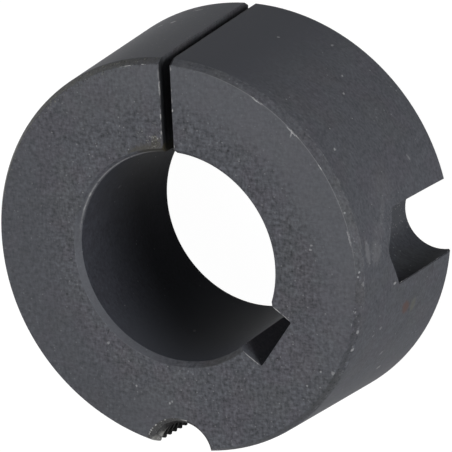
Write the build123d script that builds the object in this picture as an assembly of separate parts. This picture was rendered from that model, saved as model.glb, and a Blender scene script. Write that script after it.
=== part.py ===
from build123d import *

import math
import os

# A taper bush: a split iron sleeve, conical outside and straight inside, that screws draw into a
# matching conical hub until it closes on a shaft. It is one piece, turned, drilled, broached and
# then sawn through along one side.
#
# Frame: millimetres. The axis is Z, the large end lies on Z = 0 and the small end is up.
# The saw slot is at +Y. Angles are degrees about +Z, counted from +X towards +Y.

# The turned body
length = 25.4
large_end_diameter = 57.15  # of the cone where it meets the plane of the large end
taper_per_side = 4.0  # degrees between the cone's side and the axis

# The turned edges, each as an axial length and a radial depth
large_chamfer_axial = 0.95
large_chamfer_radial = 0.55
small_chamfer_axial = 1.05
small_chamfer_radial = 0.70
bore_chamfer_axial = 0.90
bore_chamfer_radial = 0.65

# The shaft bore and its keyway
bore_diameter = 28.575
keyway_width = 7.94
keyway_floor_radius = 17.55  # from the axis to the middle of the keyway's floor
keyway_angle = -34.6
keyway_corner_radius = 0.25

# The saw slot that lets the bush close
slot_width = 1.6
slot_angle = 90.0

# Two plain half-round pockets for the screws that draw the bush in. They are drilled from the
# large end and end blind, in the cone that the drill leaves.
pocket_diameter = 10.22
pocket_centre_radius = 26.7
pocket_depth = 14.95
pocket_angles = [3.6, 183.6]
drill_point_angle = 118.0

# One half-round hole, tapped M10 x 1.5, for the screw that pushes the bush out again.
# It runs right through, and both its mouths are countersunk. It is shown at tapping size.
jack_tapping_diameter = 8.4
jack_mouth_diameter = 10.1
jack_mouth_depth = 1.1
jack_centre_radius = 27.35
jack_angle = 268.6


def cone_radius(z):
    """Outside radius of the bush's cone at a height above the large end."""
    return large_end_diameter / 2 - z * math.tan(math.radians(taper_per_side))


def turned_blank():
    """The ring as it leaves the lathe: cone, end faces, bore and the four turned edges."""
    bore_radius = bore_diameter / 2
    small_chamfer_start = length - small_chamfer_axial
    section = [
        (bore_radius + bore_chamfer_radial, 0),
        (cone_radius(large_chamfer_axial) - large_chamfer_radial, 0),
        (cone_radius(large_chamfer_axial), large_chamfer_axial),
        (cone_radius(small_chamfer_start), small_chamfer_start),
        (cone_radius(small_chamfer_start) - small_chamfer_radial, length),
        (bore_radius + bore_chamfer_radial, length),
        (bore_radius, length - bore_chamfer_axial),
        (bore_radius, bore_chamfer_axial),
    ]
    face = Plane.XZ * make_face(Polyline(*section, close=True))
    return revolve(face, Axis.Z)


def drilled_pocket():
    """The plain drill's shape at +X: a cylinder up from the large end, with the drill's point."""
    radius = pocket_diameter / 2
    point_height = radius / math.tan(math.radians(drill_point_angle / 2))
    section = [
        (0, 0),
        (radius, 0),
        (radius, pocket_depth),
        (0, pocket_depth + point_height),
    ]
    face = Plane.XZ * make_face(Polyline(*section, close=True))
    return Pos(pocket_centre_radius, 0, 0) * revolve(face, Axis.Z)


def jacking_hole():
    """The tapped hole's shape at +X: right through, with a countersink at each mouth."""
    tapping = jack_tapping_diameter / 2
    mouth = jack_mouth_diameter / 2
    section = [
        (0, 0),
        (mouth, 0),
        (tapping, jack_mouth_depth),
        (tapping, length - jack_mouth_depth),
        (mouth, length),
        (0, length),
    ]
    face = Plane.XZ * make_face(Polyline(*section, close=True))
    return Pos(jack_centre_radius, 0, 0) * revolve(face, Axis.Z)


def keyway():
    """The broached keyway at +X: from the axis out to its floor, with small corner radii."""
    outline = Pos(keyway_floor_radius / 2, 0) * Rectangle(keyway_floor_radius, keyway_width)
    floor_corners = outline.vertices().group_by(Axis.X)[-1]
    return extrude(fillet(floor_corners, keyway_corner_radius), length)


def saw_slot():
    """The saw cut at +X: from the axis out through the widest part of the cone."""
    reach = large_end_diameter / 2 + slot_width
    return extrude(Pos(reach / 2, 0) * Rectangle(reach, slot_width), length)


def taper_bush():
    """The finished bush: the turned blank less its holes, its keyway and its slot."""
    bush = turned_blank()
    for angle in pocket_angles:
        bush -= Rot(0, 0, angle) * drilled_pocket()
    bush -= Rot(0, 0, jack_angle) * jacking_hole()
    bush -= Rot(0, 0, keyway_angle) * keyway()
    bush -= Rot(0, 0, slot_angle) * saw_slot()
    return bush.solid()


os.makedirs("parts", exist_ok=True)
export_step(taper_bush(), "parts/taper_bush.step")
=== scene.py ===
# %% [markdown]
# # A taper bush
# A taper bush fastens a pulley or a sprocket to a shaft. It is an iron sleeve with a straight bore
# and a conical outside, sawn through along one side. Screws in its half-round pockets pull it into
# a matching cone, the saw cut closes a little, and the bush grips the shaft.
# This file gives the bush its looks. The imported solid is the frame: it says how large the bush is
# and where it stands, and the dressed bush built here takes its place.

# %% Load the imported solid
import math

import bmesh
import bpy
import numpy as np
from mathutils import Matrix


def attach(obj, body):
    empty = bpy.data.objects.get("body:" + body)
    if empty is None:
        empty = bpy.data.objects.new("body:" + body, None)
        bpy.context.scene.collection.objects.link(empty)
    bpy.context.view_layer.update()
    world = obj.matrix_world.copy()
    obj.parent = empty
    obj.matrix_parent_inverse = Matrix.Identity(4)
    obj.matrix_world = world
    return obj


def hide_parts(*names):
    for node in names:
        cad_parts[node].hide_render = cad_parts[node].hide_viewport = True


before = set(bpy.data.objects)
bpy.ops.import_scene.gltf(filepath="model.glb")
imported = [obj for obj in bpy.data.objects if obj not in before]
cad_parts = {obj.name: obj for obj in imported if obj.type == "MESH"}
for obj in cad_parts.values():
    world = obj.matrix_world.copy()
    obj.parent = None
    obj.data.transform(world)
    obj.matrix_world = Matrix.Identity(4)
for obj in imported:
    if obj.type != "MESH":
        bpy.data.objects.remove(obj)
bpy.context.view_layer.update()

# %% [markdown]
# ## Sizes
# The sizes are the solid's own, in millimetres. The axis is Z, the large end lies on the floor and
# the saw slot is at +Y. Angles about the axis count from +X towards +Y.

# %% Sizes in millimetres, angles in radians
MM = 0.001
length = 25.4
large_end_radius = 57.15 / 2
taper = math.radians(4.0)
large_chamfer = (0.95, 0.55)  # axial, radial
small_chamfer = (1.05, 0.70)
bore_radius = 28.575 / 2
bore_chamfer = (0.90, 0.65)
slot_half_width = 1.6 / 2
keyway_half_width = 7.94 / 2
keyway_floor = 17.55
keyway_corner = 0.25
keyway_angle = math.radians(-34.6)
pocket_radius = 10.22 / 2
pocket_centre = 26.7
pocket_depth = 14.95
pocket_angles = [math.radians(3.6), math.radians(183.6)]
drill_slope = math.tan(math.radians(118 / 2))
thread_major = 4.65
thread_minor = 3.82
thread_pitch = 1.5
thread_start = 0.93  # where in its turn the thread starts at the large end
countersink = (5.05, 0.75)  # radius at the mouth, and how much it closes for each millimetre down
tapped_centre = 27.35
tapped_angle = math.radians(268.6)
broken_edge = 0.07  # how much of each sharp corner the deburring takes off
hold = 0.14  # the flat strip kept beside each broken edge, so that it shades crisply
print("taper bush:", length, "mm long and", 2 * large_end_radius, "mm across its large end")

# %% [markdown]
# ## The turned outline
# Three things are turned: the cone, the bore, and a chamfer at each end of both. A chamfer is a
# straight line in height, so the outside is the least of three lines and the bore the greatest of
# three. A soft least and a soft greatest melt the lines together over a small width, as a worn
# tool does.

# %% The radius of the outside and of the bore at each height
cone_melt = (0.02, 0.05)  # how widely the cone melts into its large and its small chamfer
bore_melt = 0.03


def soft_least(a, b, width):
    """The smaller of two values, blended near where they meet: half of a + b less the root of
    (a - b)^2 + width^2."""
    return (a + b - np.sqrt((a - b) ** 2 + width**2)) / 2


def outside_radius(z):
    """The cone's line, the large end's radius less z tan(taper), cut by a chamfer's line at each
    end, which falls by the chamfer's radial size over its axial size."""
    cone = large_end_radius - z * math.tan(taper)
    deep, wide = large_chamfer
    low = large_end_radius - deep * math.tan(taper) - wide * (1 - z / deep)
    deep, wide = small_chamfer
    high = large_end_radius - (length - deep) * math.tan(taper) - wide * (1 - (length - z) / deep)
    return soft_least(soft_least(cone, low, cone_melt[0]), high, cone_melt[1])


def inside_radius(z):
    """The bore's straight line, opened by a chamfer's line at each end: the radius grows by the
    chamfer's radial size as the height comes to within nothing of the end."""
    deep, wide = bore_chamfer
    nearer_end = np.minimum(z, length - z)
    opened = bore_radius + wide * (1 - nearer_end / deep)
    return -soft_least(-bore_radius * np.ones_like(z), -opened, bore_melt)


mid_height = np.array(length / 2)
print("radius at mid height: outside", round(float(outside_radius(mid_height)), 3),
      "bore", round(float(inside_radius(mid_height)), 3))

# %% [markdown]
# ## Rows
# At any height the bush's cross-section is one closed outline shaped like a C, because the slot
# opens the ring. So the whole bush is that outline carried up the axis: one row of points for each
# height, more rows where the shape changes fast. At both ends the rows also draw back from the end
# by a little, on a curve, which rounds every edge that meets an end face.

# %% The heights of the rows, and how far each row draws back
mouth_top = pocket_depth
for _ in range(8):  # the drill's point closes until it only just touches the outside
    reach = float(outside_radius(np.array(mouth_top))) - pocket_centre
    mouth_top = pocket_depth + (pocket_radius - reach) / drill_slope
tip_height = pocket_depth + pocket_radius / drill_slope


def end_rows():
    """Rows from an end face inwards, as distance from the face and draw-back: a quadratic curve
    from (0, edge) to (edge, 0), with one row more on the face itself that holds the face flat."""
    t = np.linspace(0, 1, 5)
    depth = np.concatenate([[0], broken_edge * t**2])
    back = np.concatenate([[broken_edge + hold], broken_edge * (1 - t) ** 2])
    return depth, back


end_depth, end_back = end_rows()
chamfer_rows = np.array([0.2, 0.35, 0.5, 0.65, 0.78, 0.86, 0.92, 0.98, 1.04, 1.1, 1.2, 1.35])
below_tip = np.linspace(2.0, pocket_depth - 0.6, 13)
round_tip = mouth_top - (mouth_top - pocket_depth) * (1 - np.linspace(0, 1, 12)) ** 2
above_tip = np.linspace(mouth_top + 0.25, length - 2.0, 7)
heights = np.concatenate([
    end_depth,
    chamfer_rows,
    below_tip,
    [pocket_depth - 0.25, pocket_depth - 0.08],
    round_tip,
    above_tip,
    length - chamfer_rows[::-1],
    length - end_depth[::-1],
])
draw_back = np.concatenate([
    end_back, np.zeros(len(heights) - 2 * len(end_back)), end_back[::-1]
])
mouth_row = int(np.argmin(np.abs(heights - mouth_top)))
print(len(heights), "rows; a pocket's mouth closes at", round(mouth_top, 2), "mm, row", mouth_row)

# %% [markdown]
# The thread needs rows only 0.07 mm apart, ten times closer than the rest. So the tapped hole gets
# rows of its own: each gap between two rows is shared out into as many thin ones as it takes. The
# cells beside the hole then have one long side and many short ones, and no seam opens.

# %% The fine rows of the tapped hole
fine_gap = 0.07
gaps = np.diff(heights)
shares = np.maximum(1, np.ceil(gaps / fine_gap).astype(int))
fine_row = np.concatenate([[0], np.cumsum(shares)])  # where each row comes among the fine ones
fine_index = np.arange(fine_row[-1] + 1)
fine_heights = np.interp(fine_index, fine_row, heights)
fine_back = np.interp(fine_index, fine_row, draw_back)
print(len(fine_heights), "fine rows")

# %% [markdown]
# ## The outline, piece by piece
# The outline is made of arcs about the axis, arcs about a hole's own centre, and straight runs.
# Each piece is worked out for all rows at once, as an array of rows by columns by (x, y).

# %% Arcs, runs and rounded corners


def on_circle(radius, angle):
    """Points at a distance from the axis, at angles about it: (radius cos, radius sin)."""
    radius, angle = np.broadcast_arrays(radius, angle)
    return np.stack([radius * np.cos(angle), radius * np.sin(angle)], -1)


def spread(count, start, end, holding):
    """Evenly spaced values from start to end for every row, with one more beside each end."""
    t = np.linspace(0, 1, count)
    a, b, h = (np.asarray(v, float)[:, None] for v in (start, end, holding))
    inner = a + (b - a) * t[None, 1:-1]
    step = np.sign(b - a) * np.minimum(h, np.abs(b - a) / (2 * count))
    return np.concatenate([a, a + step, inner, b - step, b], 1)


def rounded(before, corner, after):
    """A corner as a quadratic curve from one side's last point to the other's first: the three
    points between are (1-t)^2 before + 2t(1-t) corner + t^2 after, at t of 1/4, 1/2 and 3/4."""
    t = np.array([0.25, 0.5, 0.75])[None, :, None]
    return (
        (1 - t) ** 2 * before[:, None] + 2 * t * (1 - t) * corner[:, None] + t**2 * after[:, None]
    )


def straight(start, end, count, holding):
    """Points on the run between two points of each row: start plus (end - start) s / length, with
    s spread from 0 to the length."""
    way = end - start
    reach = np.linalg.norm(way, axis=1)
    s = spread(count, np.zeros(len(reach)), reach, np.full(len(reach), holding))
    return start[:, None] + way[:, None] * (s / reach[:, None])[..., None]


print("the bore crosses +Y at", on_circle(bore_radius, math.pi / 2).round(3))


# %% [markdown]
# A screw hole lies half in the bush and half in the hub, so only a part of its circle shows. Where
# it crosses the outside, the law of cosines gives the angle at the hole's centre: its cosine is
# (R^2 - c^2 - r^2) / (2 c r), with R the outside, c the hole's distance and r its radius.

# %% Where a hole meets the outside


def mouth_angle(outside, centre, radius):
    """The angle at the hole's centre between straight outwards and where it meets the outside: the
    arc cosine of (R^2 - c^2 - r^2) / (2 c r)."""
    cosine = (outside**2 - centre**2 - radius**2) / (2 * centre * np.maximum(radius, 1e-6))
    return np.arccos(np.clip(cosine, -1, 1))


def on_hole(centre, at, radius, turn):
    """Points on a hole's wall: its centre plus radius times (cos turn outwards + sin turn
    sideways)."""
    outwards = np.array([math.cos(at), math.sin(at)])
    sideways = np.array([-math.sin(at), math.cos(at)])
    return (
        centre * outwards
        + (radius * np.cos(turn))[..., None] * outwards
        + (radius * np.sin(turn))[..., None] * sideways
    )


opening = mouth_angle(outside_radius(mid_height), tapped_centre, thread_minor)
print("the tapped hole is open over", round(2 * math.degrees(opening)), "degrees of its turn")

# %% Holes on the rim
HOLE_STEPS = 4  # how often the angle and the radius at a hole's edge are worked out in turn


def hole_edge(z, back, centre, at, radius_at, side, turn):
    """Where a hole meets the outside, on its side -1 or +1. The angle there depends on the radius,
    and on a thread the radius depends on the angle, so they are worked out in turn until they
    agree. Gives the angle at the hole's centre, the angle where the wall starts past the rounded
    edge, the edge's own point, the wall's radius, and the angle about the axis where the outside
    has to stop."""
    outside = outside_radius(z) - back
    for _ in range(HOLE_STEPS):
        turn = mouth_angle(outside, centre, radius_at(z, side * turn) + back)
    radius = radius_at(z, side * turn) + back
    set_back = np.minimum(broken_edge, radius * np.sin(turn) / 3)
    wall_from = turn + set_back / np.maximum(radius, 1e-6)
    point = on_hole(centre, at, radius, side * turn)
    about_axis = np.arctan2(radius * np.sin(turn), centre + radius * np.cos(turn))
    return turn, wall_from, point, radius, at + side * (about_axis + set_back / outside)


def rim_hole(z, back, centre, at, radius_at, columns):
    """A hole's part of the outline, from the outside round its wall and out again, with both its
    edges rounded. Also gives the angles about the axis where the outside has to stop."""
    outside = outside_radius(z) - back
    guess = np.full_like(z, math.pi / 2)
    turn, near_from, near, radius, start = hole_edge(z, back, centre, at, radius_at, -1, guess)
    _, far_from, far, _, end = hole_edge(z, back, centre, at, radius_at, 1, turn)
    turns = spread(columns, -near_from, far_from - 2 * math.pi, hold / np.maximum(radius, 1e-6))
    wall = on_hole(centre, at, radius_at(z[:, None], turns) + back[:, None], turns)
    first = on_circle(outside, start)
    last = on_circle(outside, end)
    points = np.concatenate([
        first[:, None],
        rounded(first, near, wall[:, 0]),
        wall,
        rounded(wall[:, -1], far, last),
        last[:, None],
    ], 1)
    return points, start, end


print("the edge of a hole is settled in", HOLE_STEPS, "steps")

# %% [markdown]
# A pocket is a plain drilled hole: straight, then closing along the drill's point. Past the top of
# its mouth the outline has no notch any more, so its points all lie together on the outside.
# The tapped hole has a radius that runs in a screw line. The thread's profile repeats every pitch:
# a narrow flat at the root, a flank of 60 degrees, and a wider flat at the crest. A turn of the
# hole's angle moves the profile along by one pitch. The countersinks open it at both ends.

# %% The radius of each kind of hole
pocket_columns = 30
tapped_columns = 40


def plain_radius(z, turn):
    """The drill's radius, less the drill's slope times the height above where its point starts."""
    return pocket_radius - np.maximum(z - pocket_depth, 0) * drill_slope + 0 * turn


def tapped_radius(z, turn):
    """The thread's radius, or the countersink's where that is larger. The thread's height from its
    root is the distance along the axis from the root's middle, less half the root's flat, times
    the tangent of 60 degrees, kept between nothing and the whole depth."""
    turns = z / thread_pitch - turn / (2 * math.pi) + thread_start
    along = np.abs(np.mod(turns, 1) - 0.5) * thread_pitch
    half_root = thread_pitch / 16
    rise = (along - half_root) * math.tan(math.radians(60))
    thread = np.clip(thread_major - rise, thread_minor, thread_major)
    mouth, closing = countersink
    opened = mouth - closing * np.minimum(z, length - z)
    return np.maximum(thread, opened)


def pocket(z, back, at):
    """A pocket's part of the outline, folded onto one line above the top of its mouth."""
    below = np.minimum(z, mouth_top)
    points, start, end = rim_hole(below, back, pocket_centre, at, plain_radius, pocket_columns)
    closed = z > mouth_top + 1e-6
    folded = on_circle(outside_radius(z) - back, at)
    points[closed] = folded[closed][:, None]
    start[closed] = at
    end[closed] = at
    return points, start, end


print("a pocket is", round(tip_height, 2), "mm deep at the drill's tip; the thread's turns lie",
      thread_pitch, "mm apart")


# %% [markdown]
# The slot and the keyway are straight cuts. Their walls stand at half their width from their own
# middle line, and run from one arc to the other.

# %% The slot
slot_columns = 8


def slot_wall(z, back, side):
    """One wall of the slot from the outside in, with both its edges rounded, for side +1 at +X or
    -1 at -X. Its points stand half the slot's width from the middle line."""
    half = slot_half_width + back
    outside, inside = outside_radius(z) - back, inside_radius(z) + back
    x = side * half
    outer = np.stack([x, np.sqrt(outside**2 - half**2)], 1)
    inner = np.stack([x, np.sqrt(inside**2 - half**2)], 1)
    down = np.array([0, -broken_edge])
    wall = straight(outer + down, inner - down, slot_columns, hold)
    outer_angle = np.arcsin((half + broken_edge) / outside)
    inner_angle = np.arcsin((half + broken_edge) / inside)
    first = on_circle(outside, math.pi / 2 - side * outer_angle)
    last = on_circle(inside, math.pi / 2 - side * inner_angle)
    points = np.concatenate([
        first[:, None],
        rounded(first, outer, wall[:, 0]),
        wall,
        rounded(wall[:, -1], inner, last),
        last[:, None],
    ], 1)
    return points, outer_angle, inner_angle


print("the slot is", 2 * slot_half_width, "mm wide")

# %% The keyway
key_wall_columns = 7
key_floor_columns = 10


def turned(points, angle):
    """Points turned about the axis: (x cos - y sin, x sin + y cos)."""
    c, s = math.cos(angle), math.sin(angle)
    return points @ np.array([[c, s], [-s, c]])


def keyway(z, back):
    """The keyway's outline at +X, from its +Y side to its -Y side, then turned to its place. Its
    mouth's edges are broken, and its floor's corners have the broach's own small radius."""
    half = keyway_half_width + back
    floor = keyway_floor + back
    inside = inside_radius(z) + back
    mouth_x = np.sqrt(inside**2 - half**2)
    edge_angle = np.arcsin((half + broken_edge) / inside)
    corner = np.full_like(z, keyway_corner)
    sides = []
    for side in (1, -1):
        mouth = np.stack([mouth_x, side * half], 1)
        deep = np.stack([floor, side * half], 1)
        on_wall = deep - np.stack([corner, 0 * corner], 1)
        on_floor = deep - side * np.stack([0 * corner, corner], 1)
        wall = straight(mouth + np.array([broken_edge, 0]), on_wall, key_wall_columns, hold)
        first = on_circle(inside, side * edge_angle)
        half_side = [first[:, None], rounded(first, mouth, wall[:, 0]), wall,
                     rounded(wall[:, -1], deep, on_floor)]
        sides.append((np.concatenate(half_side, 1), on_floor))
    (upper, floor_start), (lower, floor_end) = sides
    middle = straight(floor_start, floor_end, key_floor_columns, hold)
    points = np.concatenate([upper, middle, lower[:, ::-1]], 1)
    return turned(points, keyway_angle), edge_angle


print("the keyway is", 2 * keyway_half_width, "mm wide, its floor", keyway_floor, "mm from the axis")


# %% [markdown]
# ## The whole outline
# The pieces follow each other anticlockwise round the outside and clockwise round the bore. The
# list starts just after the tapped hole and ends just before it, so that the hole's fine columns
# close the loop. Each piece carries the name of its surface, for the finishes.

# %% Put the outline together
surfaces = [
    "face", "chamfer", "taper", "bore", "lead_in", "sawn", "broached", "drilled", "tapped",
]
number = {name: i for i, name in enumerate(surfaces)}
hole_margin = 0.35  # how far the coarse columns stay clear of the tapped hole's countersink


def outline(z, back):
    """All columns of the outline but the tapped hole's, as pairs of a surface and its points. The
    columns stand about 1 mm apart on the outside and 0.6 mm apart in the bore."""
    outside, inside = outside_radius(z) - back, inside_radius(z) + back
    right_pocket, right_start, right_end = pocket(z, back, pocket_angles[0])
    left_pocket, left_start, left_end = pocket(z, back, pocket_angles[1])
    right_wall, right_outer, right_inner = slot_wall(z, back, 1)
    left_wall, left_outer, left_inner = slot_wall(z, back, -1)
    key, key_half = keyway(z, back)
    clear = np.full_like(z, (countersink[0] + hole_margin) / tapped_centre)
    full = 2 * math.pi
    quarter = math.pi / 2
    out_hold = np.full_like(z, hold) / outside
    in_hold = np.full_like(z, hold) / inside

    def arc(radius, count, start, end, holding):
        """The inner points of an arc, because its neighbours bring its two ends."""
        return on_circle(radius[:, None], spread(count, start, end, holding))[:, 1:-1]

    return [
        ("taper", arc(outside, 34, tapped_angle - full + clear, right_start, out_hold)),
        ("drilled", right_pocket),
        ("taper", arc(outside, 38, right_end, quarter - right_outer, out_hold)),
        ("sawn", right_wall),
        ("bore", arc(inside, 48, quarter - right_inner, keyway_angle + key_half, in_hold)),
        ("broached", key),
        ("bore", arc(inside, 84, keyway_angle - key_half, left_inner - 3 * quarter, in_hold)),
        ("sawn", left_wall[:, ::-1]),
        ("taper", arc(outside, 38, quarter + left_outer, left_start, out_hold)),
        ("drilled", left_pocket),
        ("taper", arc(outside, 34, left_end, tapped_angle - clear, out_hold)),
    ]


pieces = outline(heights, draw_back)
columns = np.concatenate([part for _, part in pieces], 1)
widths = [part.shape[1] for _, part in pieces]
starts = np.cumsum([0] + widths)
column_surface = np.repeat([number[name] for name, _ in pieces], widths)
# a face takes its surface from its first column, so a piece's last column takes the next one's
for begin, (name, _) in zip(starts[1:], pieces[1:]):
    column_surface[begin - 1] = number[name]
tapped, _, _ = rim_hole(
    fine_heights, fine_back, tapped_centre, tapped_angle, tapped_radius, tapped_columns
)
print("columns:", columns.shape[1], "and", tapped.shape[1], "fine ones")

# %% [markdown]
# ## From outline to mesh
# Neighbouring columns and rows are joined by four-sided faces. Above a pocket's mouth its columns
# carry no wall; the ring that is left there is closed by a fan up to the drill's tip. The cells
# beside the tapped hole get one edge on the coarse side and all the fine edges on the other. The
# two end faces are closed by the outline itself.

# %% Number the points


def lifted(outline_points, levels):
    """An outline's points for each row with the row's height added, as one list of (x, y, z)."""
    up = np.repeat(levels[:, None], outline_points.shape[1], 1)
    return np.concatenate([outline_points, up[..., None]], 2).reshape(-1, 3)


rows, wide = columns.shape[:2]
fine_rows, fine_wide = tapped.shape[:2]
grid = np.arange(rows * wide).reshape(rows, wide)
fine = rows * wide + np.arange(fine_rows * fine_wide).reshape(fine_rows, fine_wide)
tip_points = [
    [pocket_centre * math.cos(a), pocket_centre * math.sin(a), tip_height] for a in pocket_angles
]
points = np.concatenate([lifted(columns, heights), lifted(tapped, fine_heights), tip_points])
tips = rows * wide + fine_rows * fine_wide + np.arange(len(pocket_angles))
print(len(points), "points")

# %% Join them


def quads(index):
    """Four-sided faces between neighbouring rows and columns of an index grid, facing outwards."""
    return np.stack(
        [index[:-1, :-1], index[:-1, 1:], index[1:, 1:], index[1:, :-1]], -1
    ).reshape(-1, 4)


pocket_spans = [
    (starts[i], starts[i + 1]) for i, (name, _) in enumerate(pieces) if name == "drilled"
]
in_pocket = np.zeros(wide - 1, bool)
for first, last in pocket_spans:
    in_pocket[first:last - 1] = True
row_of = np.repeat(np.arange(rows - 1), wide - 1)
column_of = np.tile(np.arange(wide - 1), rows - 1)
keep = ~(in_pocket[column_of] & (row_of >= mouth_row))
faces = [quads(grid)[keep].tolist(), quads(fine).tolist()]
fans = []
for (first, last), tip in zip(pocket_spans, tips):
    ring = grid[mouth_row, first:last]
    fans += np.stack([ring[:-1], ring[1:], np.full(len(ring) - 1, tip)], 1).tolist()
beside = []
for k in range(rows - 1):
    run = np.arange(fine_row[k], fine_row[k + 1] + 1)
    before, after = grid[k:k + 2, -1], grid[k:k + 2, 0]
    beside.append([int(before[0]), *fine[run, 0].tolist(), int(before[1])])
    beside.append([int(after[1]), *fine[run[::-1], -1].tolist(), int(after[0])])
top = grid[-1].tolist() + fine[-1].tolist()
bottom = (grid[0].tolist() + fine[0].tolist())[::-1]
faces += [fans, beside, [top, bottom]]
print("faces of each kind:", [len(f) for f in faces])

# %% [markdown]
# Each face carries the number of its surface. The end faces include the narrow strips that hold
# them flat. The chamfers take the faces of the outside between the end and the cone, and the
# lead-ins take the bore's. Above a pocket's mouth the outside is the cone again.

# %% Name the surfaces
middle = (heights[:-1] + heights[1:]) / 2
near_end = np.minimum(middle, length - middle)
end_strip = near_end == 0
chamfer_strip = near_end < np.where(middle < length / 2, large_chamfer[0], small_chamfer[0])
lead_in_strip = near_end < bore_chamfer[0] - 0.05
quad_surface = column_surface[column_of].copy()
quad_surface[(quad_surface == number["drilled"]) & (row_of >= mouth_row)] = number["taper"]
for whole, strip, part in (
    ("taper", chamfer_strip, "chamfer"),
    ("bore", lead_in_strip, "lead_in"),
):
    quad_surface[(quad_surface == number[whole]) & strip[row_of]] = number[part]
quad_surface[end_strip[row_of]] = number["face"]
beside_surface = np.where(
    end_strip, number["face"], np.where(chamfer_strip, number["chamfer"], number["taper"])
)
fine_middle = (fine_heights[:-1] + fine_heights[1:]) / 2
fine_strip = np.minimum(fine_middle, length - fine_middle) == 0
fine_surface = np.repeat(np.where(fine_strip, number["face"], number["tapped"]), fine_wide - 1)
surface = np.concatenate([
    quad_surface[keep],
    fine_surface,
    np.full(len(fans), number["drilled"]),
    np.repeat(beside_surface, 2),
    np.full(2, number["face"]),
])
print({name: int((surface == i).sum()) for i, name in enumerate(surfaces)})

# %% [markdown]
# Sharp corners of blacked iron rub bright first. Each point gets a number that is 1 in the middle
# of a broken edge and 0 off it. A second number marks the blunt ridges, where a chamfer meets the
# cone or the bore: it is 1 at the ridge's height and dies away on both sides. The mesh keeps both
# for the finishes to read.

# %% How far each point is on an edge or a ridge


def near_height(z, levels, width):
    """1 at each of the levels, falling away as exp(-((z - level) / width)^2)."""
    return sum(np.exp(-(((z - level) / width) ** 2)) for level in levels)


# a hole's or a cut's rounded edge is the three columns between its first or last one and its wall
column_edge = np.zeros(wide)
for (name, _), begin, end in zip(pieces, starts, starts[1:]):
    if name in ("drilled", "sawn", "broached"):
        column_edge[begin + 1:begin + 4] = 1
        column_edge[end - 4:end - 1] = 1
fine_edge = np.zeros(fine_wide)
fine_edge[1:4] = 1
fine_edge[-4:-1] = 1


def on_edges(column_part, back):
    """The greater of the columns' number and the rows', and nothing on the end faces' own rows."""
    row_part = (back > 0) & (back < broken_edge)
    off_face = back <= broken_edge
    return np.maximum(column_part, row_part[:, None]) * off_face[:, None]


folded = (heights > mouth_top)[:, None] & np.isin(
    np.arange(wide), np.concatenate([np.arange(*span) for span in pocket_spans])
)[None, :]
edge = np.concatenate([
    on_edges(np.where(folded, 0, column_edge[None, :]), draw_back).ravel(),
    on_edges(fine_edge[None, :], fine_back).ravel(),
    np.zeros(len(tips)),
])
cone_ridges = (large_chamfer[0] + 0.05, length - small_chamfer[0] - 0.1)
bore_ridges = (bore_chamfer[0], length - bore_chamfer[0] + 0.26)
cone_ridge = near_height(heights, cone_ridges, 0.11)[:, None]
bore_ridge = near_height(heights, bore_ridges, 0.09)[:, None]
ridge = np.concatenate([
    np.where(
        column_surface == number["taper"], cone_ridge,
        np.where(column_surface == number["bore"], bore_ridge, 0),
    ).ravel(),
    np.zeros(fine_rows * fine_wide + len(tips)),
])
print("points on edges:", int(edge.sum()), "on ridges:", int((ridge > 0.5).sum()))

# %% [markdown]
# The mesh is made with its numbers on it, points that lie together are joined, and edges sharper
# than 35 degrees are kept sharp, so that the flats shade flat and the broken corners shade round.

# %% Make the mesh
touching = 1e-6  # metres: points closer than this are one
sharp_angle = math.radians(35)
mesh = bpy.data.meshes.new("dressed_bush")
mesh.from_pydata((points * MM).tolist(), [], [f for group in faces for f in group])
for label, numbers in (("edge", edge), ("ridge", ridge)):
    kept = mesh.attributes.new(label, "FLOAT", "POINT")
    kept.data.foreach_set("value", numbers.astype(np.float32))
mesh.polygons.foreach_set("material_index", surface.astype(np.int32))
mesh.polygons.foreach_set("use_smooth", np.ones(len(mesh.polygons), bool))
work = bmesh.new()
work.from_mesh(mesh)
bmesh.ops.remove_doubles(work, verts=work.verts, dist=touching)
bmesh.ops.dissolve_degenerate(work, edges=work.edges, dist=touching / 10)
open_edges = sum(not e.is_manifold for e in work.edges)
volume = work.calc_volume(signed=True) / MM**3
work.to_mesh(mesh)
work.free()
mesh.set_sharp_from_angle(angle=sharp_angle)
bush = bpy.data.objects.new("dressed_bush", mesh)
bpy.context.scene.collection.objects.link(bush)
mesh.calc_loop_triangles()
print("open edges", open_edges, "volume mm3", round(volume), "triangles", len(mesh.loop_triangles))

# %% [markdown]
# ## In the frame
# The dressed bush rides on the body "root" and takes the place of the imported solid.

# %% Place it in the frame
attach(bush, "root")
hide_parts("taper_bush")
print(bush.name, "rides on root")

# %% [markdown]
# ## Shader groups
# Every surface of the bush wears the same dull grey coat, so the finishes share their effects:
# grain, specks, tints, tool lines, rubbed edges and single marks. Each effect is a node group,
# built once and placed in every finish with its own values. Short helpers keep the building
# readable: one fills an input, one adds a node, one is a step of arithmetic.

# %% Helpers for shader nodes
NOISE_ROUGHNESS = 0.6


def fill(tree, socket, value):
    """Give an input its value: a link where the value is another node's output."""
    if isinstance(value, bpy.types.NodeSocket):
        tree.links.new(value, socket)
    elif socket.type == "RGBA":
        socket.default_value = (*value, 1)
    else:
        socket.default_value = value


def node(tree, kind, inputs, **options):
    """A new node with its options set and its inputs filled, by name or by number."""
    made = tree.nodes.new("ShaderNode" + kind)
    for option, choice in options.items():
        setattr(made, option, choice)
    for name, value in inputs.items():
        fill(tree, made.inputs[name], value)
    return made


def calc(tree, operation, *values):
    """One step of arithmetic on numbers that change over the surface."""
    return node(tree, "Math", dict(enumerate(values)), operation=operation).outputs[0]


def eased(tree, value, none, full):
    """0 where the value is at none, 1 where it is at full, with both ends eased: 3t^2 - 2t^3."""
    inputs = {"Value": value, "From Min": none, "From Max": full}
    return node(tree, "MapRange", inputs, interpolation_type="SMOOTHSTEP").outputs[0]


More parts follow.
